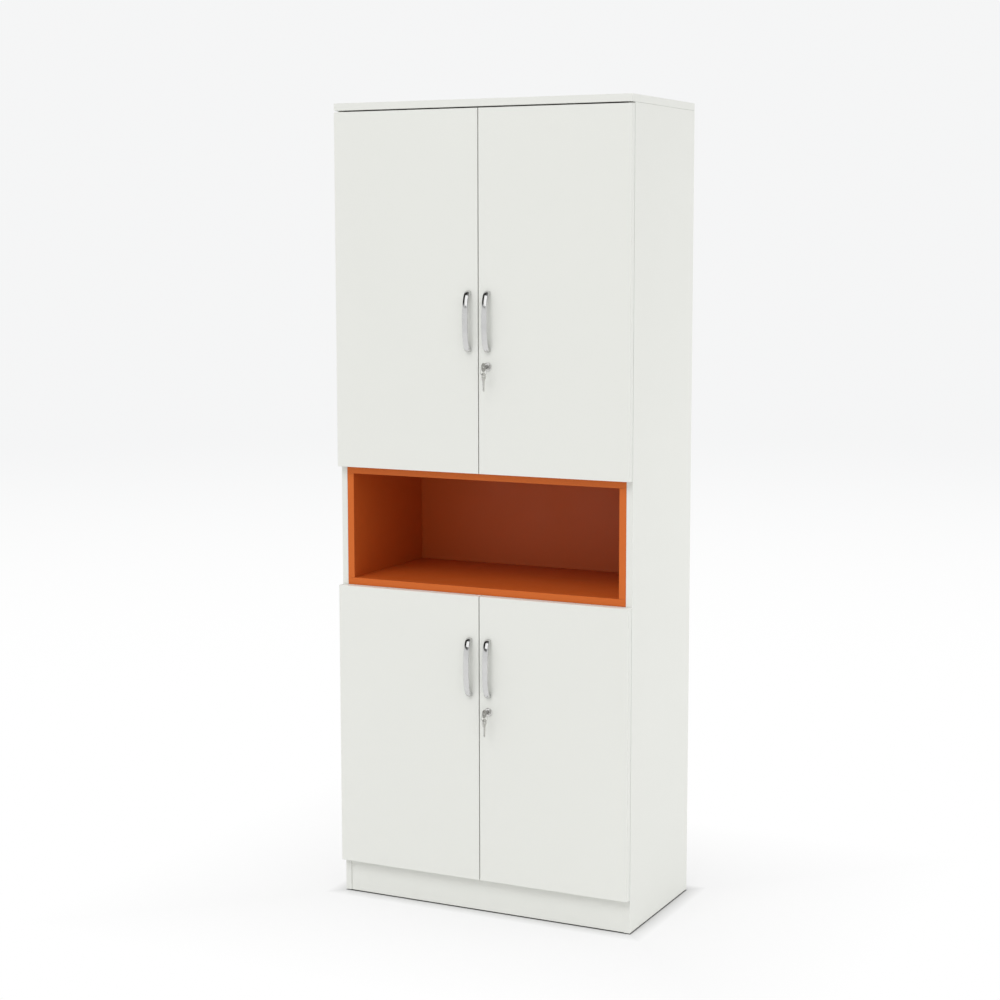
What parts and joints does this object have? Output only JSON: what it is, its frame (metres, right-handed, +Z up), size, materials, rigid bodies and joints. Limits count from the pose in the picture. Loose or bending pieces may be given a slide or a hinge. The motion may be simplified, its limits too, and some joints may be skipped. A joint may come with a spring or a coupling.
{
  "type": "file cabinet",
  "caption": "Tall coated-board office file cabinet with hinged upper and lower door pairs, an open orange niche between them, bow handles and cam locks with keys.",
  "frame": {"origin": "on the floor, under the middle of the whole object's box, keys included", "axes": "+X to the right seen from the front, +Y from the doors to the back, +Z up"},
  "size_m": [0.8, 0.4396, 2.02],
  "materials": {
    "white_board": "off-white laminate on chipboard, satin",
    "orange_board": "orange laminate on chipboard, satin",
    "back_sheet": "white-faced hardboard, matt",
    "chrome": "satin chrome plate",
    "hinge_steel": "nickel-plated pressed steel",
    "lock_metal": "nickel-plated",
    "key_metal": "nickel-plated, worn bright"
  },
  "bodies": {
    "carcass": {"side_panel_left": "white_board", "side_panel_right": "white_board", "top_panel": "white_board", "plinth_board": "white_board", "back_panel": "back_sheet", "bottom_panel": "white_board", "lower_ceiling_panel": "white_board", "upper_floor_panel": "white_board", "shelf_upper_1": "white_board", "shelf_upper_2": "white_board", "shelf_lower_1": "white_board", "niche_floor": "orange_board", "niche_roof": "orange_board", "niche_cheek_left": "orange_board", "niche_cheek_right": "orange_board", "niche_back": "orange_board", "hinge_arm_lower_left_bottom": "hinge_steel", "hinge_arm_lower_left_top": "hinge_steel", "hinge_arm_lower_right_bottom": "hinge_steel", "hinge_arm_lower_right_top": "hinge_steel", "hinge_arm_upper_left_bottom": "hinge_steel", "hinge_arm_upper_left_top": "hinge_steel", "hinge_arm_upper_right_bottom": "hinge_steel", "hinge_arm_upper_right_top": "hinge_steel"},
    "leaf_lower_left": {"door_lower_left": "white_board", "hinge_cup_lower_left_bottom": "hinge_steel", "hinge_cup_lower_left_top": "hinge_steel", "handle_lower_left": "chrome", "bolt_guide_lower": "hinge_steel"},
    "links_lower_left": {"hinge_link_lower_left_bottom": "hinge_steel", "hinge_link_lower_left_top": "hinge_steel"},
    "bolt_lower": {"bolt_rod_lower": "hinge_steel"},
    "leaf_lower_right": {"door_lower_right": "white_board", "hinge_cup_lower_right_bottom": "hinge_steel", "hinge_cup_lower_right_top": "hinge_steel", "handle_lower_right": "chrome", "lock_body_lower": "lock_metal"},
    "links_lower_right": {"hinge_link_lower_right_bottom": "hinge_steel", "hinge_link_lower_right_top": "hinge_steel"},
    "rotor_lower": {"lock_plug_lower": "lock_metal", "key_lower": "key_metal"},
    "spare_lower": {"spare_key_lower": "key_metal"},
    "leaf_upper_left": {"door_upper_left": "white_board", "hinge_cup_upper_left_bottom": "hinge_steel", "hinge_cup_upper_left_top": "hinge_steel", "handle_upper_left": "chrome", "bolt_guide_upper": "hinge_steel"},
    "links_upper_left": {"hinge_link_upper_left_bottom": "hinge_steel", "hinge_link_upper_left_top": "hinge_steel"},
    "bolt_upper": {"bolt_rod_upper": "hinge_steel"},
    "leaf_upper_right": {"door_upper_right": "white_board", "hinge_cup_upper_right_bottom": "hinge_steel", "hinge_cup_upper_right_top": "hinge_steel", "handle_upper_right": "chrome", "lock_body_upper": "lock_metal"},
    "links_upper_right": {"hinge_link_upper_right_bottom": "hinge_steel", "hinge_link_upper_right_top": "hinge_steel"},
    "rotor_upper": {"lock_plug_upper": "lock_metal", "key_upper": "key_metal"},
    "spare_upper": {"spare_key_upper": "key_metal"}
  },
  "joints": [
    {"name": "hinge_links_lower_left", "type": "hinge", "parent": "carcass", "child": "links_lower_left", "pos_m": [-0.37, -0.17025, 0.4485], "axis": [0, 0, -1], "range_deg": [-47.1, 0]},
    {"name": "door_swing_lower_left", "type": "hinge", "parent": "links_lower_left", "child": "leaf_lower_left", "pos_m": [-0.389, -0.17125, 0.4485], "axis": [0, 0, -1], "range_deg": [0, 147]},
    {"name": "hinge_links_lower_right", "type": "hinge", "parent": "carcass", "child": "links_lower_right", "pos_m": [0.37, -0.17025, 0.4485], "axis": [0, 0, 1], "range_deg": [-47.1, 0]},
    {"name": "door_swing_lower_right", "type": "hinge", "parent": "links_lower_right", "child": "leaf_lower_right", "pos_m": [0.389, -0.17125, 0.4485], "axis": [0, 0, 1], "range_deg": [0, 147]},
    {"name": "lock_turn_lower", "type": "hinge", "parent": "leaf_lower_right", "child": "rotor_lower", "pos_m": [0.026, -0.18525, 0.5215], "axis": [0, 1, 0], "range_deg": [0, 90]},
    {"name": "spare_hang_lower", "type": "hinge", "parent": "rotor_lower", "child": "spare_lower", "pos_m": [0.026, -0.20925, 0.5145], "axis": [0, 1, 0], "range_deg": [-90, 0]},
    {"name": "bolt_slide_lower", "type": "slide", "parent": "leaf_lower_left", "child": "bolt_lower", "axis": [0, 0, 1], "range_m": [0, 0.014]},
    {"name": "hinge_links_upper_left", "type": "hinge", "parent": "carcass", "child": "links_upper_left", "pos_m": [-0.37, -0.17025, 1.55675], "axis": [0, 0, -1], "range_deg": [-47.1, 0]},
    {"name": "door_swing_upper_left", "type": "hinge", "parent": "links_upper_left", "child": "leaf_upper_left", "pos_m": [-0.389, -0.17125, 1.55675], "axis": [0, 0, -1], "range_deg": [0, 147]},
    {"name": "hinge_links_upper_right", "type": "hinge", "parent": "carcass", "child": "links_upper_right", "pos_m": [0.37, -0.17025, 1.55675], "axis": [0, 0, 1], "range_deg": [-47.1, 0]},
    {"name": "door_swing_upper_right", "type": "hinge", "parent": "links_upper_right", "child": "leaf_upper_right", "pos_m": [0.389, -0.17125, 1.55675], "axis": [0, 0, 1], "range_deg": [0, 147]},
    {"name": "lock_turn_upper", "type": "hinge", "parent": "leaf_upper_right", "child": "rotor_upper", "pos_m": [0.026, -0.18525, 1.378], "axis": [0, 1, 0], "range_deg": [0, 90]},
    {"name": "spare_hang_upper", "type": "hinge", "parent": "rotor_upper", "child": "spare_upper", "pos_m": [0.026, -0.20925, 1.371], "axis": [0, 1, 0], "range_deg": [-90, 0]},
    {"name": "bolt_slide_upper", "type": "slide", "parent": "leaf_upper_left", "child": "bolt_upper", "axis": [0, 0, -1], "range_m": [0, 0.014]}
  ],
  "couplings": [
    {"joint": "hinge_links_lower_left", "follows": "door_swing_lower_left", "ratio": -0.32},
    {"joint": "hinge_links_lower_right", "follows": "door_swing_lower_right", "ratio": -0.32},
    {"joint": "spare_hang_lower", "follows": "lock_turn_lower", "ratio": -1},
    {"joint": "hinge_links_upper_left", "follows": "door_swing_upper_left", "ratio": -0.32},
    {"joint": "hinge_links_upper_right", "follows": "door_swing_upper_right", "ratio": -0.32},
    {"joint": "spare_hang_upper", "follows": "lock_turn_upper", "ratio": -1}
  ]
}
